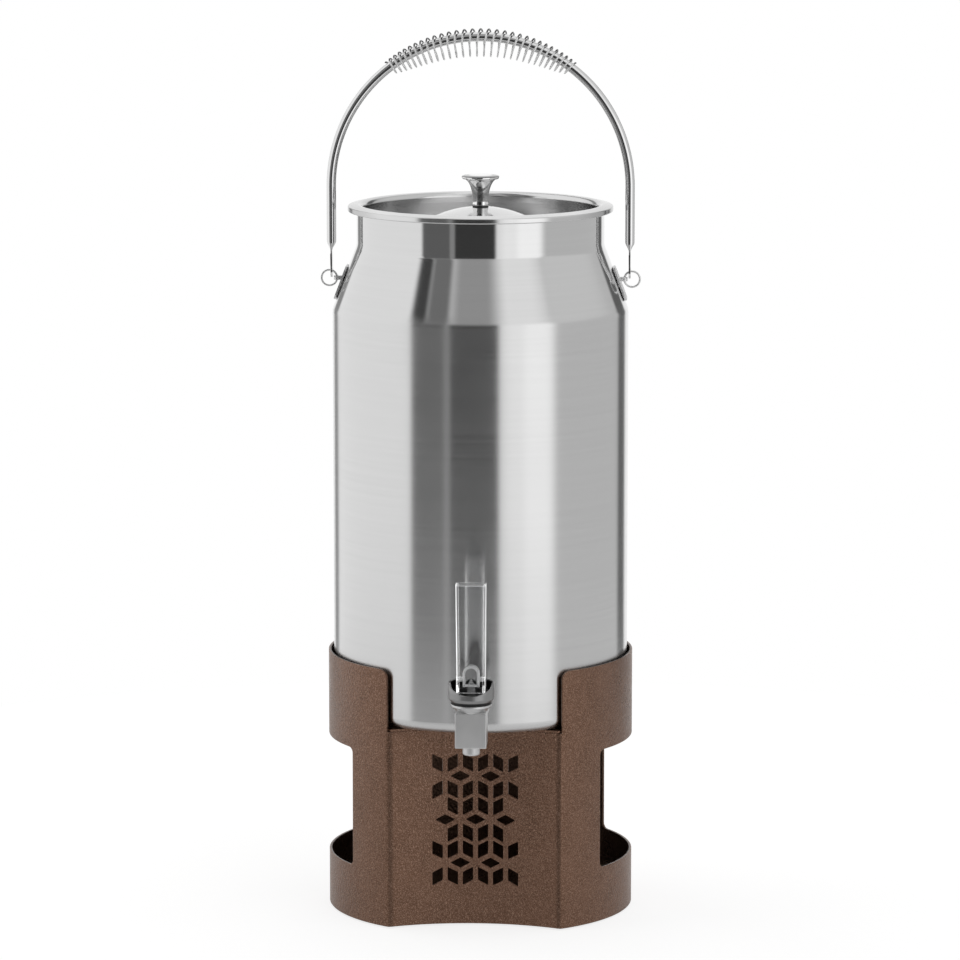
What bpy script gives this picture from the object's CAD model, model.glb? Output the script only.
"""A shouldered steel drink urn on a folded sheet-metal stand, dressed for its studio picture.

Lengths are in millimetres and become metres where a mesh is made. The frame is that of the
solids: Z up from the table, the can's axis at the origin, the tap towards -Y.
"""

import math

import bmesh
import bpy
import numpy as np
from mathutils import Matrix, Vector
from mathutils.geometry import delaunay_2d_cdt


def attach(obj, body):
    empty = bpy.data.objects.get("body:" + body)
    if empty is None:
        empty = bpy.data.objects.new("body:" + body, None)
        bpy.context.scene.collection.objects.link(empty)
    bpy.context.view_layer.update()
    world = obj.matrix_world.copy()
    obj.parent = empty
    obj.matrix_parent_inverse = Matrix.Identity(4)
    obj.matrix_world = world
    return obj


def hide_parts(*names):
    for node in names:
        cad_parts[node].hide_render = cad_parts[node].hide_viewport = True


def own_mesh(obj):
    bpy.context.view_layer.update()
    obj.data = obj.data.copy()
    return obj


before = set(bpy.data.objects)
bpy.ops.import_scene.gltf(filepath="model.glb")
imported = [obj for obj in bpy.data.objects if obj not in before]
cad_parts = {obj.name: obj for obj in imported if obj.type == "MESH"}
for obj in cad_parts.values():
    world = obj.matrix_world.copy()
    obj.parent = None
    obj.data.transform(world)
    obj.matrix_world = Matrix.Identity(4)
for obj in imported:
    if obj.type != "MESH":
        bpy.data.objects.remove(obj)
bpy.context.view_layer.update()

# Stand's skin. One sheet of 2 mm steel, cut out with its windows, notch and star lattice, rolled
# round the can and folded inwards to a hollow front. It carries a hammered powder coat.
MM = 0.001
stand_r = 114.0
sheet_t = 2.0
sheet_edge = 0.45
sheet_low = 1.0
stand_top = 194.5
shelf_z = 148.0
fold_x = 63.5
fold_y = math.sqrt(stand_r**2 - fold_x**2)
panel_sag = 14.7
panel_r = (fold_x**2 + panel_sag**2) / (2 * panel_sag)
panel_y = -(fold_y - panel_sag + panel_r)
side_run = stand_r * (math.pi / 2 + math.asin(fold_y / stand_r))
skin_run = 2 * (side_run + panel_r * math.asin(fold_x / panel_r))
bend_run = 1.6
notch_round = 6.5
notch_run = side_run - 1.2
window_half = 67.3
window_low, window_high = 41.5, 130.5
window_round = 4.0
slot_round = 0.35
inner_y = -78.0
bend_y = -86.0
mesh_step = 2.6


def sharp_plan(run):
    """Plan at a run from the middle of the back: a circle round the can, then across the front
    a circle of panel_r about a centre ahead of the stand, with a sharp fold between the two."""
    side = np.minimum(run, skin_run - run)
    way = np.where(run < skin_run / 2, -1.0, 1.0)
    turn = (run - skin_run / 2) / panel_r
    x = np.where(side > side_run, panel_r * np.sin(turn), way * stand_r * np.sin(side / stand_r))
    y = np.where(side > side_run, panel_y + panel_r * np.cos(turn), stand_r * np.cos(side / stand_r))
    return np.stack([x, y], -1)


def skin_plan(run):
    """The sharp plan with each fold replaced by the quadratic curve of its two ends and its corner."""
    fold = np.where(run < skin_run / 2, side_run, skin_run - side_run)
    share = np.clip((run - fold + bend_run) / (2 * bend_run), 0, 1)[:, None]
    bend = (1 - share) ** 2 * sharp_plan(fold - bend_run) + share**2 * sharp_plan(fold + bend_run)
    bend = bend + 2 * share * (1 - share) * sharp_plan(fold)
    return np.where((np.abs(run - fold) < bend_run)[:, None], bend, sharp_plan(run))


def skin_points(flat, depth):
    """Points of the sheet: flat holds (run, height), and depth is measured inwards, square to the plan."""
    step = 0.05
    along = skin_plan(flat[:, 0] + step) - skin_plan(flat[:, 0] - step)
    along /= np.linalg.norm(along, axis=1, keepdims=True)
    inwards = np.stack([-along[:, 1], along[:, 0]], -1)
    return np.column_stack([skin_plan(flat[:, 0]) + inwards * depth, flat[:, 1]])


def grid(rows, columns, close_rows=True, close_columns=True):
    """Quads between neighbouring lines of a rows x columns grid of points, joined round where closed."""
    i = np.arange(rows if close_rows else rows - 1)[:, None]
    j = np.arange(columns if close_columns else columns - 1)[None, :]
    i_next, j_next = (i + 1) % rows, (j + 1) % columns
    quads = [i * columns + j, i * columns + j_next, i_next * columns + j_next, i_next * columns + j]
    return np.stack(quads, -1).reshape(-1, 4)


def add_object(name, data):
    """A new object at the origin, linked to the scene."""
    made = bpy.data.objects.new(name, data)
    bpy.context.scene.collection.objects.link(made)
    return made


def make_piece(name, body, material, shells, nodes=(), sharp=38.0):
    """A piece from shells of (points in mm, faces): points that coincide are merged and faces turned
    outwards. It rides on its body, takes its slot's finish and stands for its nodes."""
    starts = np.cumsum([0] + [len(points) for points, _ in shells])
    points = np.concatenate([points for points, _ in shells]) * MM
    faces = [face for start, (_, quads) in zip(starts, shells) for face in (quads + start).tolist()]
    mesh = bpy.data.meshes.new(name)
    mesh.from_pydata(points.tolist(), [], faces)
    shape = bmesh.new()
    shape.from_mesh(mesh)
    bmesh.ops.remove_doubles(shape, verts=shape.verts, dist=2e-6)
    bmesh.ops.dissolve_degenerate(shape, edges=shape.edges, dist=1e-7)
    bmesh.ops.recalc_face_normals(shape, faces=shape.faces)
    shape.to_mesh(mesh)
    shape.free()
    mesh.materials.append(material)
    mesh.polygons.foreach_set("use_smooth", [True] * len(mesh.polygons))
    mesh.set_sharp_from_angle(angle=math.radians(sharp))
    piece = add_object(name, mesh)
    shading = piece.modifiers.new("even_shading", "WEIGHTED_NORMAL")
    shading.keep_sharp = True
    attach(piece, body)
    if nodes:
        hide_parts(*nodes)
    return piece


def rounded(corners, radius, steps=6):
    """The closed outline through the corners, each one replaced by a tangent arc of its radius."""
    corner = np.asarray(corners, float)
    bend = np.broadcast_to(np.asarray(radius, float), len(corner))[:, None]
    back, ahead = np.roll(corner, 1, 0) - corner, np.roll(corner, -1, 0) - corner
    back /= np.linalg.norm(back, axis=1, keepdims=True)
    ahead /= np.linalg.norm(ahead, axis=1, keepdims=True)
    half = np.arccos(np.clip(np.sum(back * ahead, 1, keepdims=True), -1, 1)) / 2
    middle = (back + ahead) / np.maximum(2 * np.cos(half), 1e-9)
    centre = corner + middle * bend / np.sin(half)
    first, last = corner + back * bend / np.tan(half) - centre, corner + ahead * bend / np.tan(half) - centre
    sweep = np.maximum(np.pi - 2 * half, 1e-6)[:, None]
    share = np.linspace(0, 1, steps + 1)[None, :, None]
    fan = np.sin((1 - share) * sweep) * first[:, None] + np.sin(share * sweep) * last[:, None]
    line = (centre[:, None] + fan / np.sin(sweep)).reshape(-1, 2)
    return line[np.linalg.norm(line - np.roll(line, 1, 0), axis=1) > 1e-4]


def finer(line, step, closed=True):
    """The same line with points added, so that none lie further apart than step."""
    ends = np.roll(line, -1, 0) if closed else line[1:]
    starts = line if closed else line[:-1]
    count = np.maximum(np.ceil(np.linalg.norm(ends - starts, axis=1) / step), 1).astype(int)
    which = np.repeat(np.arange(len(starts)), count)
    share = (np.arange(count.sum()) - np.repeat(np.cumsum(count) - count, count)) / count[which]
    points = starts[which] + share[:, None] * (ends - starts)[which]
    return points if closed else np.concatenate([points, line[-1:]])


def clockwise(line):
    """The closed line, turned round if it runs anticlockwise."""
    x, z = line[:, 0], line[:, 1]
    area = np.sum(x * np.roll(z, -1) - np.roll(x, -1) * z)
    return line[::-1] if area > 0 else line


def inset(line, distance, closed):
    """The line moved to its left by distance, with mitred corners."""
    edges = np.diff(line, axis=0, append=line[:1]) if closed else np.diff(line, axis=0)
    left = np.stack([-edges[:, 1], edges[:, 0]], -1) / np.linalg.norm(edges, axis=1, keepdims=True)
    before = np.roll(left, 1, 0) if closed else np.concatenate([left[:1], left])
    after = left if closed else np.concatenate([left, left[-1:]])
    return line + distance * (before + after) / (1 + np.sum(before * after, 1, keepdims=True))


def inside(points, loops):
    """Even-odd test: true where a ray from the point crosses the loops an odd number of times."""
    odd = np.zeros(len(points), bool)
    x, z = points[:, :1], points[:, 1:]
    for loop in loops:
        start, end = loop.T[:, None, :], np.roll(loop, -1, 0).T[:, None, :]
        spans = (start[1] > z) != (end[1] > z)
        rise = np.where(end[1] == start[1], 1.0, end[1] - start[1])
        crossed = spans & (x < start[0] + (z - start[1]) * (end[0] - start[0]) / rise)
        odd ^= crossed.sum(1) % 2 == 1
    return odd


def star_lattice():
    """Outlines of the cut-outs by (x, z): upright-sided slots leaning in turn, and flat diamonds."""
    pitch, slot_w, slot_side, slope = 11.15, 7.4, 9.7, 0.52
    middle_z, star_pitch, star_gap = 80.0, 32.8, 10.1
    diamond = np.array([[-7.2, 0], [0, -3.8], [7.2, 0], [0, 3.8]])
    outlines = []
    for star in (-1, 0, 1):
        for column in range(6):
            for above in (-1, 1):
                lean = above * (1 if star == 0 else -1) * (1 if column % 2 == 0 else -1)
                rise = lean * slope * slot_w / 2
                sides = np.array([[-1, -1, -rise], [1, -1, rise], [1, 1, rise], [-1, 1, -rise]])
                place = [(column - 2.5) * pitch, middle_z + star * star_pitch + above * star_gap]
                slot = np.column_stack([sides[:, 0] * slot_w / 2, sides[:, 1] * slot_side / 2 + sides[:, 2]])
                if star != 0 or column not in (0, 5):
                    outlines.append(slot + place)
        for gap in (-2, 0, 2) if star == 0 else (-1, 1):
            outlines.append(diamond + [gap * pitch, middle_z + star * star_pitch])
    return outlines


def skin_outlines():
    """The flat blank's edges by (run, height): the lower one and the upper one with its notch, which
    are open lines, and the closed ones of the windows and the lattice."""
    low_edge = finer(np.array([[0, sheet_low], [skin_run, sheet_low]]), mesh_step, False)
    corner_run = notch_round * stand_r / fold_y
    turn = np.linspace(0, np.pi / 2, 8)
    corner = np.stack([np.sin(turn) * corner_run - corner_run, np.cos(turn) * notch_round - notch_round], -1)
    half_top = np.concatenate([
        [[0, stand_top]], corner + [notch_run, stand_top], [[notch_run, shelf_z], [skin_run / 2, shelf_z]]
    ])
    half_top = finer(half_top, mesh_step, False)
    right_half = half_top[::-1][1:] * [-1, 1] + [skin_run, 0]
    top_edge = np.concatenate([half_top, right_half])[::-1]
    window = rounded(
        [[-window_half, window_low], [window_half, window_low], [window_half, window_high],
         [-window_half, window_high]], window_round
    )
    window = finer(window, mesh_step)
    window_run = stand_r * np.arccos(window[:, 0] / stand_r)
    loops = [np.stack([window_run, window[:, 1]], -1), np.stack([skin_run - window_run, window[:, 1]], -1)]
    for outline in star_lattice():
        line = finer(rounded(outline, slot_round, 3), mesh_step)
        loops.append(np.stack([skin_run / 2 + panel_r * np.arcsin(line[:, 0] / panel_r), line[:, 1]], -1))
    return [low_edge, top_edge], [clockwise(loop) for loop in loops]


def blank_face(edges, loops):
    """Triangles of the flat blank between its edges, with an even lattice of points inside."""
    rims = [np.concatenate(edges)] + loops
    z_lines = np.linspace(sheet_low + 4, stand_top - 4, 38)
    columns = np.arange(0.5, skin_run / mesh_step - 0.5) * mesh_step
    lattice = np.stack(np.meshgrid(columns, z_lines), -1).reshape(-1, 2)
    edge_points = np.concatenate(rims)
    near = np.abs(lattice[:, None] - edge_points[None]).sum(2).min(1) < mesh_step * 0.6
    lattice = lattice[inside(lattice, rims) & ~near]
    seam = np.concatenate([np.stack([np.full(len(z_lines), run), z_lines], -1) for run in (0, skin_run)])
    flat = np.concatenate(rims + [lattice, seam])
    starts = np.cumsum([0] + [len(rim) for rim in rims])
    sides = []
    for start, rim in zip(starts.tolist(), rims):
        sides += [(start + k, start + (k + 1) % len(rim)) for k in range(len(rim))]
    found, _, triangles, *_ = delaunay_2d_cdt([Vector(point) for point in flat.tolist()], sides, [], 0, 1e-5)
    found = np.array([tuple(point) for point in found])
    triangles = np.array(triangles)
    return found, triangles[inside(found[triangles].mean(1), rims)]


def skin_shells():
    """The flat blank is bent to the plan twice, for the two faces. A strip that follows a quarter
    circle at each face joins them round every edge."""
    edges, loops = skin_outlines()
    turn = np.linspace(0, np.pi / 2, 4)
    levels = np.stack([sheet_edge * (1 - np.sin(turn)), sheet_edge * (1 - np.cos(turn))], -1)
    levels = np.concatenate([levels, np.stack([levels[::-1, 0], sheet_t - levels[::-1, 1]], -1)])
    shells = []
    for line, closed in [(edge, False) for edge in edges] + [(loop, True) for loop in loops]:
        rows = [skin_points(inset(line, gap, closed), depth) for gap, depth in levels]
        shells.append((np.concatenate(rows), grid(len(levels), len(line), False, closed)))
    edges = [inset(edge, sheet_edge, False) for edge in edges]
    loops = [inset(loop, sheet_edge, True) for loop in loops]
    flat, triangles = blank_face(edges, loops)
    return shells + [(skin_points(flat, 0.0), triangles), (skin_points(flat, sheet_t), triangles)]


def node(tree, kind, sockets=None, **settings):
    """Adds a shader node. sockets maps its inputs to a value or to the output that feeds them."""
    made = tree.nodes.new(kind)
    for key, value in settings.items():
        setattr(made, key, value)
    for key, value in (sockets or {}).items():
        if isinstance(value, bpy.types.NodeSocket):
            tree.links.new(value, made.inputs[key])
        else:
            made.inputs[key].default_value = value
    return made


def maths(tree, operation, *values):
    """The output of a Math node."""
    return node(tree, "ShaderNodeMath", dict(enumerate(values)), operation=operation).outputs[0]


def vector(tree, operation, *values):
    """The output of a Vector Math node."""
    return node(tree, "ShaderNodeVectorMath", dict(enumerate(values)), operation=operation).outputs[0]


def length(tree, place, move=(0, 0, 0), scale=(1, 1, 1)):
    """The length of the place moved and then scaled."""
    scaled = vector(tree, "MULTIPLY", vector(tree, "ADD", place, move), scale)
    return node(tree, "ShaderNodeVectorMath", {0: scaled}, operation="LENGTH").outputs["Value"]


def ramp(tree, value, start, end, low=0.0, high=1.0, **settings):
    """low where the value is below start, high where it is above end, and a straight line between."""
    sockets = {"Value": value, "From Min": start, "From Max": end, "To Min": low, "To Max": high}
    return node(tree, "ShaderNodeMapRange", sockets, **settings).outputs[0]


def noise(tree, place, scale, detail=2.0):
    """A noise between 0 and 1."""
    sockets = {"Vector": place, "Scale": scale, "Detail": detail}
    return node(tree, "ShaderNodeTexNoise", sockets).outputs["Fac"]


def relief(tree, height, strength, depth):
    """The normal that a height gives."""
    sockets = {"Height": height, "Strength": strength, "Distance": depth}
    return node(tree, "ShaderNodeBump", sockets).outputs[0]


def opaque(colour):
    """The four channels of a colour or a single grey."""
    return (*np.broadcast_to(colour, 3), 1.0)


def mix_colours(tree, mask, low, high):
    """A colour that runs from low to high with the mask."""
    mix = node(tree, "ShaderNodeMix", {"Factor": mask}, data_type="RGBA")
    for key, value in (("A", low), ("B", high)):
        if isinstance(value, bpy.types.NodeSocket):
            tree.links.new(value, mix.inputs[key])
        else:
            mix.inputs[key].default_value = opaque(value)
    return mix.outputs["Result"]


def new_group(name, inputs, outputs):
    """An empty shader group, with its inputs' values by name and the names of its outputs."""
    group = bpy.data.node_groups.new(name, "ShaderNodeTree")
    for label, value in inputs.items():
        kind = "NodeSocketVector" if isinstance(value, tuple) else "NodeSocketFloat"
        group.interface.new_socket(label, in_out="INPUT", socket_type=kind).default_value = value
    for label in outputs:
        group.interface.new_socket(label, in_out="OUTPUT", socket_type="NodeSocketFloat")
    return group, group.nodes.new("NodeGroupInput").outputs, group.nodes.new("NodeGroupOutput").inputs


def new_finish(name, colour, metallic, roughness, **sockets):
    """A Principled material with its even values set on the shader's own sockets."""
    material = bpy.data.materials.new(name)
    material.use_nodes = True
    tree = material.node_tree
    values = {"Base Color": opaque(colour), "Metallic": metallic, "Roughness": roughness}
    values.update({key.replace("_", " "): value for key, value in sockets.items()})
    for key, value in values.items():
        tree.nodes["Principled BSDF"].inputs[key].default_value = value
    node(tree, "ShaderNodeTexCoord")
    return material


def parts(material):
    """The finish's tree, its shader's inputs, its object coordinates, and their X, Y and Z."""
    tree = material.node_tree
    place = tree.nodes["Texture Coordinate"].outputs["Object"]
    split = node(tree, "ShaderNodeSeparateXYZ", {"Vector": place}).outputs
    return tree, tree.nodes["Principled BSDF"].inputs, place, split["X"], split["Y"], split["Z"]


def shade(material, mask, colour):
    """Mixes the finish's colour towards another one by the mask."""
    tree = material.node_tree
    base = tree.nodes["Principled BSDF"].inputs["Base Color"]
    tree.links.new(mix_colours(tree, mask, base.links[0].from_socket, colour), base)
    return material


def hammered_group():
    """Hammered paint: rounded cells with a finer ripple on them, and a mask of small bright flecks."""
    inputs = {"Vector": (0, 0, 0), "Cells": 500.0}
    group, given, result = new_group("hammered_paint", inputs, ["Height", "Fleck"])
    cells = noise(group, given["Vector"], given["Cells"], 1.5)
    ripple = noise(group, given["Vector"], maths(group, "MULTIPLY", given["Cells"], 2.7))
    group.links.new(maths(group, "MULTIPLY_ADD", ripple, 0.35, cells), result["Height"])
    group.links.new(ramp(group, ripple, 0.47, 0.70), result["Fleck"])
    return group


def drift_group():
    """Slow drift: a soft mask of large patches, for handling marks and uneven coats."""
    group, given, result = new_group("slow_drift", {"Vector": (0, 0, 0), "Patches": 20.0}, ["Mask"])
    patches = noise(group, given["Vector"], given["Patches"], 3.0)
    mask = ramp(group, patches, 0.3, 0.7, interpolation_type="SMOOTHSTEP")
    group.links.new(mask, result["Mask"])
    return group


FLAT = (1, 1, 0)
hammered_paint = hammered_group()
slow_drift = drift_group()


def fold_shade(tree, x, y, z):
    """A factor that falls from 1 to a low share on two narrow lines, just ahead of the sheet's folds."""
    off = maths(tree, "SUBTRACT", maths(tree, "ABSOLUTE", x), (fold_x - bend_run) * MM)
    line = ramp(tree, maths(tree, "ABSOLUTE", off), 0.5 * MM, 2.4 * MM, 0.68, 1.0)
    behind = maths(tree, "GREATER_THAN", y, bend_y * MM)
    above = maths(tree, "GREATER_THAN", z, shelf_z * MM)
    return maths(tree, "MAXIMUM", line, maths(tree, "MAXIMUM", behind, above))


def make_brown_coat(name, hidden):
    """Bronze-brown powder coat, semi-gloss, with a fine hammered grain and lighter flecks. Where
    hidden is set, it is thinner and darker inside the stand's outer skin."""
    material = new_finish(name, (0.2, 0.12, 0.08), 0.8, 0.3)
    tree, shader, place, x, y, z = parts(material)
    drawn = vector(tree, "MULTIPLY", place, (1.3, 1.3, 0.8))
    paint = node(tree, "ShaderNodeGroup", {"Vector": drawn, "Cells": 560.0}, node_tree=hammered_paint).outputs
    drift = node(tree, "ShaderNodeGroup", {"Vector": place, "Patches": 60.0}, node_tree=slow_drift).outputs
    base = mix_colours(tree, drift["Mask"], (0.138, 0.071, 0.043), (0.165, 0.087, 0.054))
    flecked = mix_colours(tree, paint["Fleck"], base, (0.40, 0.25, 0.18))
    shaded = node(
        tree, "ShaderNodeVectorMath", {0: flecked, "Scale": fold_shade(tree, x, y, z)}, operation="SCALE"
    )
    tree.links.new(shaded.outputs[0], shader["Base Color"])
    tree.links.new(ramp(tree, drift["Mask"], 0, 1, 0.27, 0.33), shader["Roughness"])
    tree.links.new(relief(tree, paint["Height"], 0.8, 0.7 * MM), shader["Normal"])
    if hidden:
        within = maths(tree, "LESS_THAN", length(tree, place, scale=FLAT), (stand_r - 0.6) * MM)
        behind = maths(tree, "GREATER_THAN", y, inner_y * MM)
        shade(material, maths(tree, "MULTIPLY", within, behind), (0.080, 0.046, 0.030))
    return material


brown_coat = make_brown_coat("brown_coat", True)
make_piece(
    "stand_skin", "stand", brown_coat, skin_shells(), ("stand_shell", "front_panel")
)


# Shelf and floor plate. Two flat discs of the same sheet, welded into the skin; the upper one
# carries the can. Their edges are broken a little, and they take the skin's powder coat.
def soften(name, source, body, material, edge):
    """A copy of a solid's mesh with its doubles merged and its flat faces joined, whose corners of
    more than 30 degrees are rounded by edge."""
    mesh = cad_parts[source].data.copy()
    shape = bmesh.new()
    shape.from_mesh(mesh)
    bmesh.ops.remove_doubles(shape, verts=shape.verts, dist=2e-6)
    bmesh.ops.dissolve_limit(shape, angle_limit=math.radians(0.5), verts=shape.verts, edges=shape.edges)
    shape.to_mesh(mesh)
    shape.free()
    mesh.materials.clear()
    mesh.materials.append(material)
    mesh.polygons.foreach_set("use_smooth", [True] * len(mesh.polygons))
    piece = add_object(name, mesh)
    rounding = piece.modifiers.new("round_edges", "BEVEL")
    rounding.width, rounding.segments = edge * MM, 3
    rounding.limit_method, rounding.angle_limit = "ANGLE", math.radians(30)
    piece.modifiers.new("even_shading", "WEIGHTED_NORMAL")
    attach(piece, body)
    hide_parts(source)
    return piece


open_coat = make_brown_coat("open_brown_coat", False)
soften("shelf", "shelf_plate", "stand", open_coat, 0.3)
soften("floor", "floor_plate", "stand", brown_coat, 0.3)

# Feet and foot screws. Four soft rubber cones, each held by a pan-head screw through the floor
# plate. The rubber is moulded black with a faint bloom, and the screws are zinc-plated.


def grain_group():
    """Grain: fine noise stretched along the brushing, over a coarser one, with a tone for colour."""
    inputs = {"Vector": (0, 0, 0), "Stretch": (1, 1, 1), "Fineness": 100.0}
    group, given, result = new_group("brushed_grain", inputs, ["Height", "Tone"])
    drawn = vector(group, "MULTIPLY", given["Vector"], given["Stretch"])
    fine = noise(group, drawn, given["Fineness"], 5.0)
    broad = noise(group, drawn, maths(group, "MULTIPLY", given["Fineness"], 0.17))
    group.links.new(maths(group, "MULTIPLY_ADD", broad, 0.15, fine), result["Height"])
    group.links.new(broad, result["Tone"])
    return group


brushed_grain = grain_group()


def grained_finish(name, dark, light, metallic, rough, fineness, depth, stretch=(1, 1, 1), **sockets):
    """A finish whose tone, roughness and relief follow the grain, with slow handling marks. The dark
    and light tones are colours or single greys, and depth is in mm."""
    material = new_finish(name, light, metallic, rough[0], **sockets)
    tree, shader, place, *_ = parts(material)
    grain = {"Vector": place, "Stretch": stretch, "Fineness": fineness}
    grain = node(tree, "ShaderNodeGroup", grain, node_tree=brushed_grain).outputs
    drift = node(tree, "ShaderNodeGroup", {"Vector": place, "Patches": 25.0}, node_tree=slow_drift).outputs
    tree.links.new(mix_colours(tree, grain["Tone"], dark, light), shader["Base Color"])
    mixed = maths(tree, "MULTIPLY_ADD", drift["Mask"], 0.5, grain["Tone"])
    tree.links.new(ramp(tree, mixed, 0, 1, *rough), shader["Roughness"])
    tree.links.new(relief(tree, grain["Height"], 1.0, depth * MM), shader["Normal"])
    return material


black_rubber = grained_finish("black_rubber", 0.012, (0.030, 0.030, 0.031), 0.0, (0.55, 0.75), 900.0, 0.02)
zinc_plate = grained_finish(
    "zinc_plate", (0.40, 0.39, 0.36), (0.62, 0.61, 0.57), 1.0, (0.28, 0.42), 700.0, 0.01
)


def dress(name, material):
    """Gives a CAD node its material and leaves its mesh alone."""
    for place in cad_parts[name].material_slots:
        place.material = material


soften("feet", "stand_feet", "stand", black_rubber, 0.6)
dress("foot_screws", zinc_plate)

# Can. Spun stainless sheet: a straight body, a sloping shoulder and a short neck, with its foot
# turned in under it. It is brushed round and round, so highlights stretch up and down.
can_r = 110.0
neck_r = 92.0
can_z = 150.0
body_top = 449.0
shoulder_top = 501.02
sheet_end = 526.82
shoulder_angle = 20.7
shoulder_round = 12.0
base_round = 8.0
base_flange = 12.0
can_t = 1.0
shank_z = 172.5
shank_hole_r = 7.5
block_low, block_high = 161.0, 184.0
block_rows, block_half_columns = 8, 5


def arc(x, z, radius, start, end, count=14):
    """Points of a circle about (x, z), from one angle to another in degrees."""
    angle = np.radians(np.linspace(start, end, count))
    return np.stack([x + radius * np.cos(angle), z + radius * np.sin(angle)], -1)


def shoulder_line(depth):
    """The can's shoulder moved inwards by depth: two tangent arcs, with a straight cone between them."""
    return np.concatenate([
        arc(can_r - shoulder_round, body_top, shoulder_round - depth, 0, shoulder_angle),
        arc(neck_r + shoulder_round, shoulder_top, shoulder_round + depth, 180 + shoulder_angle, 180),
    ])


def wall_line(radius, low):
    """An upright wall of that radius from low to the shoulder, with close rows round the tap's hole."""
    z = np.concatenate([[low + 0.3], np.linspace(block_low, block_high, block_rows + 1)])
    z = np.concatenate([z, np.linspace(190.0, 444.0, 26)])
    return np.stack([np.full(len(z), radius), z], -1)


def can_line(depth):
    """The can's section from its turned-in foot to the end of its neck, moved inwards by depth."""
    foot = can_z + base_round
    return np.concatenate([
        [[can_r - base_round - base_flange, can_z + depth]],
        arc(can_r - base_round, foot, base_round - depth, -90, 0, 12),
        wall_line(can_r - depth, foot),
        shoulder_line(depth),
        [[neck_r - depth, (shoulder_top + sheet_end) / 2], [neck_r - depth, sheet_end]],
    ])


def tap_hole(edge, radius):
    """Rings of points on a wall of that radius, which pass from a closed edge by (x, z) to the hole
    for the tap's shank."""
    way = np.arctan2(edge[:, 1] - shank_z, edge[:, 0])
    hole = np.stack([shank_hole_r * np.cos(way), shank_z + shank_hole_r * np.sin(way)], -1)
    share = np.linspace(0, 1, 4)[:, None, None]
    flat = (edge * (1 - share) + hole * share).reshape(-1, 2)
    bent = np.stack([flat[:, 0], -np.sqrt(radius**2 - flat[:, 0] ** 2), flat[:, 1]], -1)
    return bent, grid(len(share), len(edge), False)


def drilled_shells(line, wall, radius, rings=288):
    """Two walls spun from line(0) and line(wall) and closed at their ends. In front a block of quads
    is left out of each, and the rings round the tap's hole fill it."""
    angle = (np.arange(rings) / rings * 2 - 0.5) * np.pi
    span, climb = np.arange(-block_half_columns, block_half_columns), np.arange(block_rows)
    shells, open_edges = [], []
    for depth in (0.0, wall):
        rows = line(depth)
        x, y = rows[:, :1] * np.cos(angle), rows[:, :1] * np.sin(angle)
        points = np.stack([x, y, np.broadcast_to(rows[:, 1:], x.shape)], -1)
        quads = grid(len(rows), rings, False).reshape(len(rows) - 1, rings, 4)
        low = int(np.argmin(np.abs(rows[:, 1] - block_low) + np.abs(rows[:, 0] - (radius - depth))))
        kept = np.ones(quads.shape[:2], bool)
        kept[low:low + block_rows, span] = False
        shells.append((points.reshape(-1, 3), quads[kept]))
        row = np.concatenate([0 * span, climb, 0 * span + block_rows, block_rows - climb]) + low
        column = np.concatenate([span, 0 * climb + block_half_columns, -span, 0 * climb - block_half_columns])
        edge = points[row, column][:, [0, 2]]
        shells.append(tap_hole(edge, radius - depth))
        open_edges.append(shells[-1][0][-len(edge):])
        if rows[0, 0] > 0:
            open_edges.append(points[0])
        open_edges.append(points[-1])
    count = len(open_edges) // 2
    for outer, inner in zip(open_edges[:count], open_edges[count:]):
        shells.append((np.concatenate([outer, inner]), grid(2, len(outer), False)))
    return shells


def tangent_round(material):
    """Turns the finish's stretched highlights square to brushing that runs round the Z axis."""
    tree, shader, *_ = parts(material)
    tangent = node(tree, "ShaderNodeTangent", direction_type="RADIAL", axis="Z")
    tree.links.new(tangent.outputs[0], shader["Tangent"])
    shader["Anisotropic Rotation"].default_value = 0.25
    return material


def glossier_above(material, low, high, share):
    """Scales the finish's roughness from 1 below the height low to share above high."""
    tree, shader, _, _, _, z = parts(material)
    fall = ramp(tree, z, low * MM, high * MM, 1.0, share)
    rough = shader["Roughness"].links[0].from_socket
    tree.links.new(maths(tree, "MULTIPLY", rough, fall), shader["Roughness"])
    return material


brushed_steel = tangent_round(grained_finish(
    "brushed_steel", 0.65, 0.69, 1.0, (0.20, 0.24), 40.0, 0.006, (1, 1, 60), Anisotropic=0.93
))
glossier_above(brushed_steel, body_top, body_top + 10, 0.45)
make_piece(
    "can_wall", "container", brushed_steel,
    drilled_shells(can_line, can_t, can_r), ("can_outer",),
)

# Base disc. A flat stainless disc that closes the can above its turned-in foot, left dull.
dull_steel = tangent_round(grained_finish(
    "dull_steel", 0.48, 0.60, 1.0, (0.28, 0.40), 50.0, 0.012, (1, 1, 18), Anisotropic=0.5
))
dress("can_base", dull_steel)

# Liner. The drink stands in this inner can of 1 mm stainless, an air gap away from the outer one.
# A bead pressed into its neck makes the ledge that the lid lies on.
liner_gap = 4.0
liner_t = 1.0
liner_z = 154.0
liner_round = 4.0
mouth_r = 87.0
ledge_z = 508.52
ledge_w = 4.5
liner_end = 521.5


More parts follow.
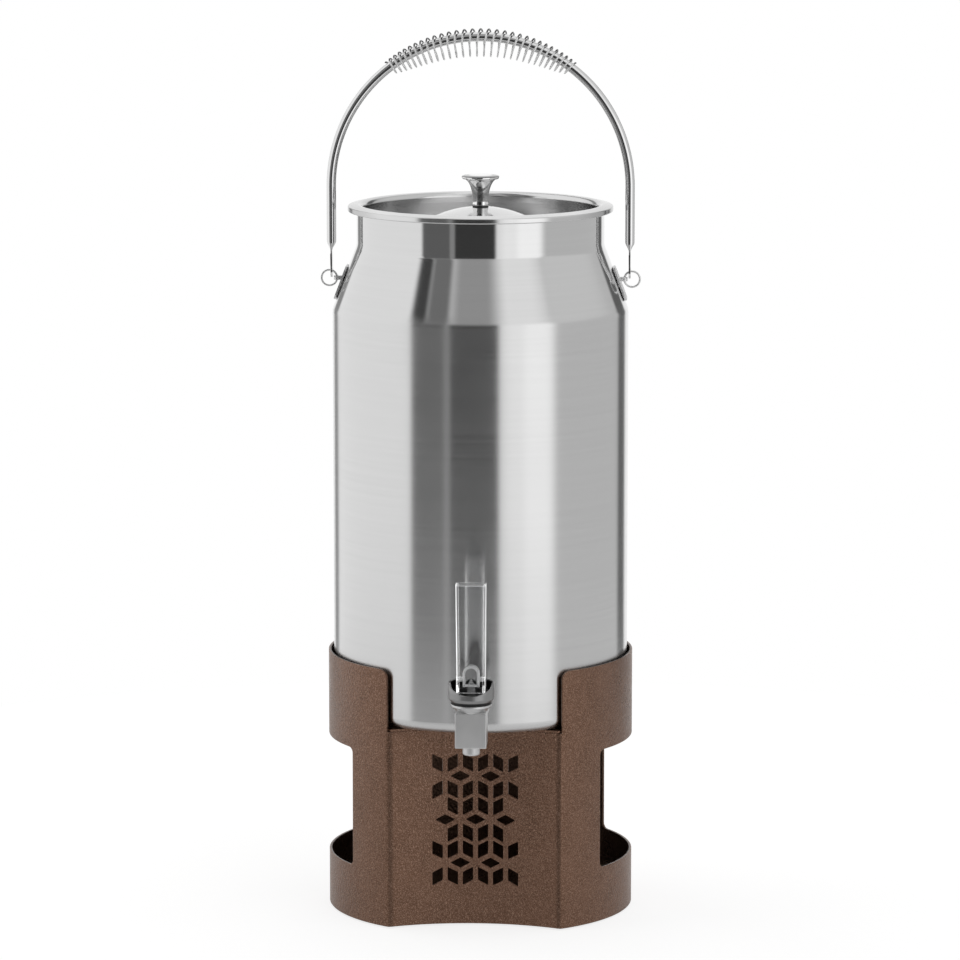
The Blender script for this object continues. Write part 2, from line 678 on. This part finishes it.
def liner_line(depth):
    """The liner's section from the middle of its bottom to the rim, moved inwards by depth."""
    neck, ledge = mouth_r + liner_t - depth, mouth_r + liner_t - ledge_w - depth
    return np.concatenate([
        [[0, liner_z + depth], [40, liner_z + depth], [80, liner_z + depth]],
        arc(can_r - liner_gap - liner_round, liner_z + liner_round, liner_round - depth, -90, -3, 10),
        wall_line(can_r - liner_gap - depth, liner_z + liner_round),
        shoulder_line(liner_gap + depth),
        [[neck, ledge_z - 5 - depth / 2], [ledge, ledge_z - 2.6 - depth / 2]],
        [[ledge, ledge_z - liner_t + depth], [neck, ledge_z - liner_t + depth], [neck, 516.0]],
        [[neck, liner_end]],
    ])


liner_steel = tangent_round(grained_finish(
    "liner_steel", 0.54, 0.62, 1.0, (0.16, 0.24), 50.0, 0.004, (1, 1, 18), Anisotropic=0.6
))
make_piece(
    "liner", "container", liner_steel,
    drilled_shells(liner_line, liner_t, can_r - liner_gap), ("can_liner",),
)


# Rim. A ring of sheet that joins can and liner: it turns over the mouth, slopes down outwards, and
# its outer edge is curled under. It is satin-finished and brighter than the body.
def turned(outline, centre=(0.0, 0.0), rings=192):
    """A closed outline of (radius, height) spun about the upright axis through centre."""
    angle = np.linspace(0, 2 * np.pi, rings, endpoint=False)
    x, y = centre[0] + outline[:, :1] * np.cos(angle), centre[1] + outline[:, :1] * np.sin(angle)
    points = np.stack([x, y, np.broadcast_to(outline[:, 1:], x.shape)], -1)
    return points.reshape(-1, 3), grid(len(outline), rings)


rim_top, rim_low, rim_r = 530.5, 523.92, 98.5
rim_line = rounded(
    [[mouth_r, liner_end], [mouth_r, rim_top], [rim_r, 527.9], [rim_r, rim_low], [95.8, rim_low],
     [95.8, 526.8], [mouth_r + 1.0, 529.0], [mouth_r + 1.0, liner_end]],
    [0.0, 4.2, 1.0, 1.0, 0.4, 0.4, 3.2, 0.0], 12,
)


def make_satin_steel(name, grey_ends):
    """Satin steel, spun round. Where grey_ends is set, it is greyer at the ring's left and right."""
    material = tangent_round(grained_finish(
        name, 0.62, 0.74, 1.0, (0.12, 0.18), 80.0, 0.003, (1, 1, 14), Anisotropic=0.6
    ))
    tree, _, _, x, *_ = parts(material)
    if grey_ends:
        shade(material, ramp(tree, maths(tree, "ABSOLUTE", x), 72 * MM, 97 * MM, 0.0, 0.75), 0.36)
    return material


rim_steel = make_satin_steel("rim_steel", True)
make_piece("rim", "container", rim_steel, [turned(rim_line, rings=288)], ("can_rim",))

# Ears. Two flat stainless plates welded to the shoulder, each with a short lug for its wire ring.
plain_steel = grained_finish("plain_steel", 0.70, 0.84, 0.7, (0.34, 0.44), 60.0, 0.008, (1, 20, 1))
soften("ear_plate_left", "ear_left", "container", plain_steel, 0.25)
soften("ear_plate_right", "ear_right", "container", plain_steel, 0.25)

# Rings. Loops of bright spring wire that link the bail's flattened ends to the ears' lugs.
ring_r, ring_wire_r, ring_x, ring_z = 5.8, 0.75, 112.63, 473.4
bright_wire = grained_finish("bright_wire", 0.80, 0.92, 0.6, (0.14, 0.22), 300.0, 0.0006)


def wire_ring(side):
    """A torus in the XZ plane: a circle of wire carried round a circle."""
    round_ring = np.linspace(0, 2 * np.pi, 72, endpoint=False)[:, None]
    round_wire = np.linspace(0, 2 * np.pi, 16, endpoint=False)[None, :]
    reach = ring_r + ring_wire_r * np.cos(round_wire)
    x, z = side * ring_x + reach * np.cos(round_ring), ring_z + reach * np.sin(round_ring)
    points = np.stack([x, np.broadcast_to(ring_wire_r * np.sin(round_wire), x.shape), z], -1)
    return points.reshape(-1, 3), grid(72, 16)


make_piece("wire_ring_left", "link_left", bright_wire, [wire_ring(-1)], ("ring_left",))
make_piece("wire_ring_right", "link_right", bright_wire, [wire_ring(1)], ("ring_right",))

# Bail. One stainless tube bent to an arch. Its ends are pinched and pressed flat, and an eye is
# punched in each. It is polished.
bail_r = 3.5
strip_half_t = 0.75
strip_half_w = 5.2
eye_r = 1.6
arch_r = 110.83
pivot_z = 478.914
arch_z = 541.914
strip_reach = 13.0
strip_top = pivot_z + strip_reach
pinch_top = pivot_z + 22.0


def swept(path, out, sections, bulge):
    """A skin along a path. Each section's (outwards, sideways) points are set square to the path,
    and at both ends the section shrinks to a point along a quarter ellipse of height bulge."""
    cap_rows = 4
    ends = (path[1] - path[0], path[-1] - path[-2])
    turn = np.linspace(np.pi / 2, 0, cap_rows + 1)[:-1]
    head = path[0] - ends[0] / np.linalg.norm(ends[0]) * bulge * np.sin(turn)[:, None]
    tail = path[-1] + ends[1] / np.linalg.norm(ends[1]) * bulge * np.sin(turn[::-1])[:, None]
    run = np.gradient(path, axis=0)
    run = np.concatenate([np.repeat(run[:1], cap_rows, 0), run, np.repeat(run[-1:], cap_rows, 0)])
    out = np.concatenate([np.repeat(out[:1], cap_rows, 0), out, np.repeat(out[-1:], cap_rows, 0)])
    shrink = np.cos(turn)[:, None, None]
    sections = np.concatenate([sections[:1] * shrink, sections, sections[-1:] * shrink[::-1]])
    path = np.concatenate([head, path, tail])
    run /= np.linalg.norm(run, axis=1, keepdims=True)
    outwards = out - np.sum(out * run, 1, keepdims=True) * run
    outwards /= np.linalg.norm(outwards, axis=1, keepdims=True)
    sideways = np.cross(run, outwards)
    points = path[:, None] + sections[..., :1] * outwards[:, None] + sections[..., 1:] * sideways[:, None]
    return points.reshape(-1, 3), grid(len(path), sections.shape[1], False)


def smooth_step(share):
    """0 below 0, 1 above 1, and a cubic with level ends between."""
    share = np.clip(share, 0, 1)
    return share * share * (3 - 2 * share)


def bail_skin():
    """The tube's circle passes to a flat rounded strip towards both ends, by a superellipse whose
    half axes and power follow the height on the leg."""
    leg_z = np.concatenate([np.linspace(strip_top - 1, pinch_top + 1, 16), np.linspace(508, 536, 6)])
    leg = np.stack([np.full(len(leg_z), -arch_r), 0 * leg_z, leg_z], -1)
    angle = np.radians(np.linspace(180, 0, 150))
    arch = np.stack([arch_r * np.cos(angle), 0 * angle, arch_z + arch_r * np.sin(angle)], -1)
    path = np.concatenate([leg, arch, leg[::-1] * [-1, 1, 1]])
    out = np.concatenate([leg * 0 - [1, 0, 0], arch - [0, 0, arch_z], leg * 0 + [1, 0, 0]])
    flat = (1 - smooth_step((path[:, 2] - strip_top - 2) / (pinch_top - strip_top - 2)))[:, None]
    turn = np.linspace(0, 2 * np.pi, 32, endpoint=False)[None, :]
    power = 1 - 0.55 * flat
    thick = bail_r + (strip_half_t - bail_r) * flat
    wide = bail_r + (strip_half_w - bail_r) * flat
    sections = np.stack([
        thick * np.sign(np.cos(turn)) * np.abs(np.cos(turn)) ** power,
        wide * np.sign(np.sin(turn)) * np.abs(np.sin(turn)) ** power,
    ], -1)
    return swept(path, out, sections, 0.3)


def eye_plate(x):
    """The strip's end: rings of points that pass from the eye to a half-round outline and back."""
    corners = np.arctan2(strip_reach, [strip_half_w, -strip_half_w])
    turn = np.union1d(np.linspace(-np.pi, np.pi, 64, endpoint=False), corners)
    side = strip_half_w / np.maximum(np.abs(np.cos(turn)), 1e-6)
    top = strip_reach / np.maximum(np.sin(turn), 1e-6)
    rim = np.where(np.sin(turn) > 0, np.minimum(side, top), strip_half_w)
    edge = 0.25
    flat_t = strip_half_t - edge
    rings = [
        (0 * turn + eye_r, -flat_t), (0 * turn + eye_r + edge, -strip_half_t), (rim - edge, -strip_half_t),
        (rim, -flat_t), (rim, flat_t), (rim - edge, strip_half_t), (0 * turn + eye_r + edge, strip_half_t),
        (0 * turn + eye_r, flat_t),
    ]
    points = []
    for radius, offset in rings:
        y, z = radius * np.cos(turn), pivot_z + radius * np.sin(turn)
        points.append(np.stack([x + offset + 0 * turn, y, z], -1))
    return np.concatenate(points), grid(len(rings), len(turn))


polished_steel = grained_finish("polished_steel", 0.70, 0.80, 1.0, (0.06, 0.12), 90.0, 0.0003)
make_piece(
    "bail", "bail", polished_steel,
    [bail_skin(), eye_plate(-arch_r), eye_plate(arch_r)], ("bail_tube",),
)

# Coil grip. Spring wire wound round the top of the bail, wide in the middle and drawn in to the
# tube at both ends. It hangs a little below the tube, as a loose coil does.
coil_turns = 30
coil_wire_r = 0.65
coil_mid_r = 10.0
coil_end_r = 4.65
coil_sag = 4.3
coil_half_angle = 37.5
coil_crowd = 0.2
coil_hang = 0.7


def wire(path, out, radius):
    """A round wire of that radius along a path, with round ends."""
    turn = np.linspace(0, 2 * np.pi, 10, endpoint=False)
    section = radius * np.stack([np.cos(turn), np.sin(turn)], -1)
    return swept(path, out, np.broadcast_to(section, (len(path), 10, 2)), radius)


def coil_skin():
    """A helix about an arc: the wire's centre turns round the arch, its pitch closing up towards
    the ends by a sine and its radius swelling with a power of a sine. Each turn moves on more at
    its top than where it hangs."""
    share = np.linspace(0, 1, coil_turns * 30 + 1)
    bulge = np.maximum(np.sin(np.pi * share), 0) ** 0.6
    bunched = share + coil_hang * np.sin(2 * np.pi * coil_turns * share) / (2 * np.pi * coil_turns)
    along = bunched - coil_crowd * np.sin(2 * np.pi * bunched) / (2 * np.pi)
    angle = np.radians(90 + coil_half_angle * (1 - 2 * along))
    out = np.stack([np.cos(angle), 0 * angle, np.sin(angle)], -1)
    turn = (2 * np.pi * coil_turns * share)[:, None]
    way = np.cos(turn) * out + np.sin(turn) * [0, 1, 0]
    core = (arch_r - coil_sag * bulge)[:, None] * out + [0, 0, arch_z]
    path = core + (coil_end_r + (coil_mid_r - coil_end_r) * bulge)[:, None] * way
    return wire(path, way, coil_wire_r)


def make_coil_wire():
    """Bright wire, dark where it passes over the top of the tube, by the distance from the arch's
    centre."""
    material = grained_finish("coil_wire", 0.80, 0.92, 0.5, (0.14, 0.22), 300.0, 0.0006)
    tree, _, place, *_ = parts(material)
    radius = length(tree, place, (0, 0, -arch_z * MM))
    return shade(material, ramp(tree, radius, (arch_r + 3.2) * MM, (arch_r + 4.4) * MM), 0.05)


make_piece("coil_grip", "bail", make_coil_wire(), [coil_skin()], ("grip_coil",))

# Lid. A spun stainless disc that lies on the liner's ledge, with a low dome in its middle and a
# small hole for the knob's screw.
lid_r = 86.2
lid_t = 1.0
lid_top = 509.52
dome_w = 52.0
dome_r = 85.62
dome_z = 441.50
dome_fillet = 3.4


def lid_line():
    """The lid's section: a sphere's cap that a small fillet joins to the flat flange, above and below."""
    radius = np.linspace(2.3, dome_w - dome_fillet, 26)
    top = np.stack([radius, dome_z + np.sqrt(dome_r**2 - radius**2)], -1)
    share = np.linspace(0, 1, 8)[1:, None]
    corner, end = np.array([dome_w, lid_top]), np.array([dome_w + dome_fillet, lid_top])
    flange = (1 - share) ** 2 * top[-1] + 2 * share * (1 - share) * corner + share**2 * end
    edge = np.array([[lid_r - 0.3, lid_top], [lid_r, lid_top - 0.3], [lid_r, ledge_z + 0.3],
                     [lid_r - 0.3, ledge_z]])
    under = np.concatenate([top, flange])[::-1] - [0, lid_t]
    return np.concatenate([top, flange, edge, under])


satin_steel = make_satin_steel("satin_steel", False)
make_piece("lid", "lid", satin_steel, [turned(lid_line(), rings=256)], ("lid_shell",))

# Knob, washer and screw. A turned, polished steel knob with a flared top and a slim waist, held
# through the lid by a screw from below, on a thin black washer.
knob_z = 527.72
knob_h = 23.0
knob_foot, knob_waist, knob_disc = 6.1, 5.85, 14.0
waist_up, flare_up = 3.68, 20.01


def knob_line():
    """The knob's section from its screw hole round to its top: a foot, a slim waist, a flare by a
    quarter ellipse, the disc's thin edge, and a top that is slightly domed by a parabola."""
    turn = np.linspace(0, np.pi / 2, 24)[1:]
    foot_r = knob_foot - (knob_foot - knob_waist) * np.sin(turn)
    foot = np.stack([foot_r, 1.2 + (waist_up - 1.2) * turn / turn[-1]], -1)
    reach = knob_disc - 0.8 - knob_waist
    flare_r = knob_waist + reach * (1 - np.cos(turn))
    flare = np.stack([flare_r, waist_up + (flare_up - waist_up) * np.sin(turn)], -1)
    corners = [[0, flare_up], [13.3, flare_up], [knob_disc, 20.9], [knob_disc, 22.1], [0, 22.4]]
    edge = rounded(corners, [0, 0.2, 0.4, 0.6, 0], 4)
    radius = np.linspace(12.8, 0, 14)
    top = np.stack([radius, knob_h - 0.55 * (radius / 12.8) ** 2], -1)
    base = [[0, 10.5], [2.05, 10.5], [2.05, 0.0], [knob_foot - 0.3, 0.0], [knob_foot, 0.3], [knob_foot, 1.2]]
    return np.concatenate([base, foot, flare, edge[edge[:, 0] > 13.25], top]) + [0, knob_z]


def make_knob_steel():
    """Polished steel, dark on the top's outer ring and down the front of the slim foot."""
    material = grained_finish("knob_steel", 0.82, 0.90, 1.0, (0.05, 0.09), 90.0, 0.0002)
    tree, _, place, x, y, z = parts(material)
    outer = ramp(tree, length(tree, place, scale=FLAT), 8.2 * MM, 9.4 * MM)
    above = maths(tree, "GREATER_THAN", z, (knob_z + 21.6) * MM)
    shade(material, maths(tree, "MULTIPLY", outer, above), 0.20)
    stripe = ramp(tree, maths(tree, "ABSOLUTE", x), 1.2 * MM, 2.4 * MM, 1.0, 0.0)
    front = maths(tree, "MULTIPLY", stripe, maths(tree, "LESS_THAN", y, 0.0))
    low = ramp(tree, z, (knob_z + 13) * MM, (knob_z + 17) * MM, 1.0, 0.0)
    return shade(material, maths(tree, "MULTIPLY", front, low), 0.22)


make_piece("knob", "lid", make_knob_steel(), [turned(knob_line(), rings=96)], ("lid_knob",))
dress("knob_washer", black_rubber)
dress("knob_screw", zinc_plate)

# Tap body. Cast brass, machined and satin-chromed: a square block with a round nozzle under it, a
# flared collar on top, and a threaded shank with a flange that goes through the can.
tap_y = -142.0
block_z, collar_low, collar_z = 148.7, 174.8, 180.0
block_half = 11.4
nozzle_z, nozzle_r = 142.0, 6.4
spout_bore_r, chamber_r, seat_z = 4.6, 8.6, 160.0
flange_y, flange_r, shank_r, shank_end = -115.4, 12.0, 7.3, -93.9


def tap_core():
    """Nozzle, chamber and collar in one turned section, open from the seat down through the spout."""
    corners = [
        [spout_bore_r, nozzle_z], [nozzle_r, nozzle_z], [nozzle_r, block_z + 1.2], [9.6, block_z + 1.2],
        [9.6, collar_low - 1.0], [block_half, collar_low - 1.0], [block_half, collar_low], [14.7, 178.5],
        [14.7, collar_z], [chamber_r, collar_z], [chamber_r, seat_z], [spout_bore_r, seat_z],
    ]
    radii = [0.5, 1.6, 0, 0, 0, 0, 0.8, 0.5, 0.4, 0.2, 0.2, 0.3]
    return turned(rounded(corners, radii), (0.0, tap_y), 96)


def square_block():
    """A square outline with round corners carried up through rows of (inset, height), and closed
    by an inner wall that stays clear of the turned core."""
    edge = 0.9
    corners = np.array([[-1, -1], [1, -1], [1, 1], [-1, 1]]) * (block_half - edge)
    square = finer(rounded(corners, 0.6, 5), 1.6)
    way = np.arctan2(square[:, 1], square[:, 0])
    round_way = np.stack([np.cos(way), np.sin(way)], -1)
    turn = np.linspace(0, np.pi / 2, 5)
    grow = 1 + edge * np.sin(turn) / (block_half - edge)
    drop = edge * (1 - np.cos(turn))
    rows = [(round_way * (nozzle_r + 0.1), block_z + 1.0), (round_way * (nozzle_r + 0.1), block_z)]
    rows += [(square * wider, block_z + down) for wider, down in zip(grow, drop)]
    rows += [(square * wider, collar_low - down) for wider, down in zip(grow[::-1], drop[::-1])]
    rows += [
        (round_way * 10.2, collar_low), (round_way * 10.0, collar_low - 1), (round_way * 10.0, block_z + 1.0)
    ]
    points = [np.column_stack([flat + [0, tap_y], np.full(len(flat), z)]) for flat, z in rows]
    return np.concatenate(points), grid(len(rows), len(square))


def turned_level(corners, radii):
    """A closed outline of (radius, place) spun about the shank's level axis."""
    points, faces = turned(rounded(corners, radii), rings=72)
    return np.stack([points[:, 0], points[:, 2], points[:, 1] + shank_z], -1), faces


shank = turned_level(
    [[5.0, -131.5], [shank_r, -131.5], [shank_r, flange_y], [flange_r, flange_y], [flange_r, flange_y + 3],
     [shank_r, flange_y + 3], [shank_r, shank_end], [5.0, shank_end]],
    [0, 0, 0.6, 0.8, 0.3, 0, 0.5, 0.3],
)
satin_chrome = grained_finish("satin_chrome", 0.60, 0.70, 1.0, (0.34, 0.44), 400.0, 0.002)
make_piece(
    "tap_casting", "container", satin_chrome, [tap_core(), square_block(), shank], ("tap_body",)
)

# Washers and nut. Rubber washers seal the shank on both sides of the walls, and a chromed nut
# inside the liner clamps the tap.
for washer in ("tap_washer_outer", "tap_washer_inner"):
    dress(washer, black_rubber)
soften("clamp_nut", "tap_nut", "container", satin_chrome, 0.5)

# Sealing ring. A black rubber ring squeezed between the body's collar and the bonnet, so that it
# bulges a little all round.
seal_r, seal_low, seal_high = 14.9, 180.02, 181.18
seal_line = rounded(
    [[chamber_r, seal_low], [seal_r, seal_low], [seal_r, seal_high], [chamber_r, seal_high]],
    [0.1, 0.5, 0.5, 0.1],
)
make_piece(
    "seal_ring", "container", black_rubber, [turned(seal_line, (0.0, tap_y), 96)],
    ("tap_seal_ring",),
)

# Bonnet. A chromed cup screwed into the body round the foot of the lever. Its front is scooped
# out, so that the lever's toe can swing forward over a low lip.
bonnet_z = 181.2
bonnet_floor = 6.8
bonnet_top = 14.8
scoop_lip = 0.2
scoop_half = 15.7


def bonnet_skin():
    """A turned section whose wall is full at the back and drops towards the front by a half ellipse
    across the scoop's width, down to the lip."""
    corners = [
        [6.4, -2.2], [8.52, -2.2], [8.52, 0], [14.9, 0], [17.1, 3.2], [17.1, 9.5], [16.6, bonnet_top],
        [15.0, bonnet_top], [15.0, bonnet_floor], [3.1, bonnet_floor], [3.1, 3.8], [6.4, 3.8],
    ]
    line = rounded(corners, [0.2, 0.2, 0.1, 0.6, 2.2, 3.0, 0.7, 0.6, 1.2, 0.2, 0.1, 0.1], 8)
    points, faces = turned(line, (0.0, tap_y), 144)
    across, ahead = np.abs(points[:, 0]), tap_y - points[:, 1]
    height = points[:, 2] - bonnet_floor
    scooped = np.sqrt(np.clip(1 - (across / scoop_half) ** 2, 0, 1)) * smooth_step((ahead - 1) / 6)
    keep = 1 - scooped * (1 - scoop_lip / (bonnet_top - bonnet_floor))
    points[:, 2] = bonnet_z + bonnet_floor + np.where(height > 0, height * keep, height)
    return points, faces


def make_cup_chrome():
    """Chrome for the cup, dark inside above its floor, and dark at its foot where the ring shades it."""
    material = grained_finish("cup_chrome", 0.26, 0.34, 1.0, (0.28, 0.36), 300.0, 0.001)
    tree, _, place, _, _, z = parts(material)
    within = ramp(tree, length(tree, place, (0, -tap_y * MM, 0), FLAT), 15.0 * MM, 15.3 * MM, 1.0, 0.0)
    inner = maths(tree, "MULTIPLY", within, maths(tree, "GREATER_THAN", z, (bonnet_z + 5.0) * MM))
    foot = maths(tree, "LESS_THAN", z, (bonnet_z + 1.4) * MM)
    return shade(material, maths(tree, "MAXIMUM", inner, foot), 0.04)


cup_chrome = make_cup_chrome()
make_piece("bonnet", "container", cup_chrome, [bonnet_skin()], ("tap_bonnet",), 50.0)

# Stem spring. A short compression spring between the stem's collar and the bonnet's pocket. It
# closes up towards the pocket as the stem rises.
spring_r, spring_wire_r, spring_turns = 4.7, 0.45, 6
spring_low, spring_high = 168.95, 184.45


def spring_skin():
    """A helix with a flat closed turn at each end, by a height that eases in and out."""
    share = np.linspace(0, 1, spring_turns * 36 + 1)
    rise = smooth_step(share) * 0.35 + share * 0.65
    turn = 2 * np.pi * spring_turns * share
    way = np.stack([np.cos(turn), np.sin(turn), 0 * turn], -1)
    climb = spring_low + (spring_high - spring_low) * rise
    path = spring_r * way + np.stack([0 * share, 0 * share + tap_y, climb], -1)
    return wire(path, way, spring_wire_r)


return_spring = make_piece(
    "return_spring", "container", bright_wire, [spring_skin()], ("stem_spring",)
)
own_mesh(return_spring)

# Valve stem and seat cup. A chromed rod with a collar for the spring and an arched head for the
# pin. The head's face is recessed inside a raised edge. The cup on its foot is red silicone.
pin_z = 198.0
head_half, head_d, head_low, head_high = 6.1, 7.2, 5.5, 4.2


def head_skin():
    """The arched outline drawn in and moved back through rows of (inset, depth), with a pole at
    the middle of each face."""
    sides = np.array([[-head_half, -head_low], [head_half, -head_low], [head_half, head_high - 2]])
    top = arc(0, head_high, head_half, 0, 180, 24)
    line = finer(np.concatenate([sides, top, [[-head_half, head_high - 2]]]), 1.2)
    middle, half_d = np.array([0.0, 1.5]), head_d / 2
    recess = [(None, 1.1), (3.0, 1.1), (2.3, 1.1), (2.0, 0.9), (1.8, 0.15), (1.5, 0.0)]
    front = [(0.5, 0.0), (0.15, 0.15), (0.0, 0.5)]
    rear = [(gap, head_d - depth) for gap, depth in front[::-1]] + [(2.0, head_d), (None, head_d)]
    points = []
    for gap, depth in recess + front + rear:
        flat = np.tile(middle, (len(line), 1)) if gap is None else inset(line, gap, True)
        points.append(np.stack([flat[:, 0], tap_y - half_d + depth + 0 * flat[:, 0], pin_z + flat[:, 1]], -1))
    return np.concatenate(points), grid(len(points), len(line), False)


stem_line = rounded(
    [[0, 162], [3, 162], [3, 167], [6, 167], [6, 168.4], [3, 168.4], [3, 193.5], [0, 193.5]],
    [0, 0.3, 0, 0.3, 0.3, 0.1, 0.2, 0],
)


def make_bright_chrome():
    """Pale satin chrome, darker in the recess of the head's face."""
    material = grained_finish("bright_chrome", 0.90, 0.96, 0.0, (0.36, 0.46), 300.0, 0.001)
    tree, _, _, _, y, _ = parts(material)
    return shade(material, maths(tree, "GREATER_THAN", y, (tap_y - head_d / 2 + 0.6) * MM), 0.42)


bright_chrome = make_bright_chrome()
make_piece(
    "stem", "valve", bright_chrome,
    [turned(stem_line, (0.0, tap_y), 48), head_skin()], ("valve_stem",),
)
red_silicone = grained_finish(
    "red_silicone", (0.36, 0.030, 0.022), (0.50, 0.050, 0.035), 0.0, (0.45, 0.6), 600.0, 0.01
)
dress("seat_cup", red_silicone)

# Lever pin. A short chromed pin with chamfered ends, pressed through the stem's head. The lever
# turns on it.
pin_r, pin_half = 2.0, 10.35
pin_chrome = grained_finish("pin_chrome", 0.86, 0.94, 0.3, (0.10, 0.16), 300.0, 0.0004)


def pin_skin():
    """A closed outline of (radius, place) spun about the pin's level axis across the tap."""
    corners = [[0, -pin_half], [pin_r, -pin_half], [pin_r, pin_half], [0, pin_half]]
    points, faces = turned(rounded(corners, [0, 0.4, 0.4, 0]), rings=48)
    return np.stack([points[:, 2], points[:, 0] + tap_y, points[:, 1] + pin_z], -1), faces


make_piece("pivot_pin", "valve", pin_chrome, [pin_skin()], ("lever_pin",))

# Lever. A channel of clear moulded plastic, open at the back, that straddles the stem's head. Its
# foot is a round cam that stands on the bonnet's floor.
lever_low_half, lever_widening = 10.4, 0.0107


def make_clear_plastic():
    """Clear plastic, whose narrow sides, which follow the lever's taper, are bright with piped light."""
    material = grained_finish(
        "clear_plastic", (0.97, 0.98, 0.985), 1.0, 0.0, (0.005, 0.03), 60.0, 0.002,
        Transmission_Weight=1.0, IOR=1.49, Emission_Strength=1.0,
    )
    tree, shader, _, x, _, z = parts(material)
    half = maths(tree, "MULTIPLY_ADD", z, lever_widening, (lever_low_half - lever_widening * pin_z) * MM)
    depth = maths(tree, "SUBTRACT", half, maths(tree, "ABSOLUTE", x))
    tree.links.new(ramp(tree, depth, 0.5 * MM, 0.8 * MM, 0.32, 0.0), shader["Emission Color"])
    return material


soften("lever", "tap_lever", "lever", make_clear_plastic(), 0.8)

# Studio. A white table under a white light tent, with dark and grey cards in front and at the
# sides. The tent's glow is the only light, and its cards show as bands in the urn's steel.
tent_r = 6.0
table_r = 0.85
camera_turn = 2.7


def band(x, low, high, soft):
    """1 between low and high and 0 outside, with soft edges."""
    return smooth_step((x - low) / soft + 0.5) * (1 - smooth_step((x - high) / soft + 0.5))


def tent_glow(bearing, climb):
    """Brightness of the tent by bearing from the camera's, to its right, and by angle above level. Each
    card has its left, right and softness, its low, high and softness, and its brightness."""
    cards = [
        (60, 152, 8, -80, 75, 10, 0.62),
        (56, 128, 22, 18, 75, 8, 0.74),
        (20, 56, 8, -80, 22, 8, 1.12),
        (34, 56, 8, -80, 22, 8, 1.25),
        (-27, 14, 4, -80, 26, 4, 0.05),
        (-27, 15, 20, 26, 75, 4, 0.38),
        (-55, -27, 4, -80, 26, 4, 0.14),
        (-46, -27, 6, 26, 75, 4, 0.20),
        (-60, -46, 6, 26, 75, 4, 0.06),
        (-27.5, -23.5, 2, -80, 22, 4, 0.30),
        (135, 152, 4, -80, 30, 10, 0.14),
        (-160, -147, 4, -80, 70, 10, 0.30),
    ]
    glow = np.ones_like(bearing)
    for left, right, side_soft, low, high, end_soft, value in cards:
        mask = band(bearing, left, right, side_soft) * band(climb, low, high, end_soft)
        glow = glow * (1 - mask) + value * mask
    return glow


def studio_piece(name, points, faces):
    """A studio piece, the mesh of which has an empty material that isn't sampled as a lamp."""
    mesh = bpy.data.meshes.new(name)
    mesh.from_pydata(points.reshape(-1, 3).tolist(), [], faces.tolist())
    material = bpy.data.materials.new(name)
    material.use_nodes = True
    material.node_tree.nodes.clear()
    material.cycles.emission_sampling = "NONE"
    mesh.materials.append(material)
    return add_object(name, mesh), material.node_tree


def give_out(tree, shader):
    """Makes the shader the material's surface."""
    output = node(tree, "ShaderNodeOutputMaterial")
    tree.links.new(shader.outputs[0], output.inputs["Surface"])


def make_tent():
    """A sphere round the scene whose points carry the tent's brightness."""
    columns, rows = 360, 90
    bearing = np.linspace(-180, 180, columns, endpoint=False)[None, :]
    climb = np.linspace(-89.9, 89.9, rows)[:, None]
    around, upwards = np.radians(bearing + camera_turn), np.radians(climb)
    x, y = np.sin(around) * np.cos(upwards), -np.cos(around) * np.cos(upwards)
    points = tent_r * np.stack([x, y, np.sin(upwards) + 0 * around], -1)
    tent, tree = studio_piece("light_tent", points, grid(rows, columns, False))
    glow = tent_glow(bearing + 0 * climb, climb + 0 * bearing).reshape(-1).astype(np.float32)
    tent.data.attributes.new("glow", "FLOAT", "POINT").data.foreach_set("value", glow)
    value = node(tree, "ShaderNodeAttribute", attribute_name="glow")
    give_out(tree, node(tree, "ShaderNodeEmission", {"Strength": value.outputs["Fac"]}))
    tent.visible_camera = False


def make_table():
    """A round white table top. It is part matt white and part glowing, so that it stays as white as
    the background and still takes the urn's soft shadow."""
    angle = np.linspace(0, 2 * np.pi, 128, endpoint=False)
    radii = np.array([0.001, 0.3, 0.6, table_r])[:, None]
    points = np.stack([radii * np.cos(angle), radii * np.sin(angle), 0 * radii * angle], -1)
    table, tree = studio_piece("table_top", points, grid(4, 128, False))
    matt = node(tree, "ShaderNodeBsdfDiffuse", {"Color": opaque(0.32)})
    seen = node(tree, "ShaderNodeLightPath").outputs
    mirrored = maths(tree, "MULTIPLY", seen["Is Glossy Ray"], 0.6)
    direct = maths(tree, "MAXIMUM", seen["Is Camera Ray"], mirrored)
    shown = maths(tree, "MAXIMUM", direct, seen["Is Transmission Ray"])
    light = node(tree, "ShaderNodeEmission", {"Strength": maths(tree, "MULTIPLY", shown, 0.78)})
    give_out(tree, node(tree, "ShaderNodeAddShader", {0: matt.outputs[0], 1: light.outputs[0]}))


make_tent()
make_table()
world = bpy.data.worlds.new("white")
bpy.context.scene.world = world
world.use_nodes = True
background = world.node_tree.nodes["Background"].inputs
background["Color"].default_value = opaque(1.0)
background["Strength"].default_value = 1.0

# Camera. A long lens a little above the urn and a little to its right, as in the photograph.
target = Vector((-0.0004, 0.0, 0.3216))
distance, climb = 3.8, math.radians(8.95)
turn = math.radians(camera_turn)
camera = add_object("camera", bpy.data.cameras.new("camera"))
camera.data.sensor_width = 36.0
camera.data.lens = 190.5
way = Vector((math.sin(turn) * math.cos(climb), -math.cos(turn) * math.cos(climb), math.sin(climb)))
camera.location = target + distance * way
camera.rotation_euler = (-way).to_track_quat("-Z", "Y").to_euler()
bpy.context.scene.camera = camera

bpy.context.scene.view_settings.view_transform = "Standard"
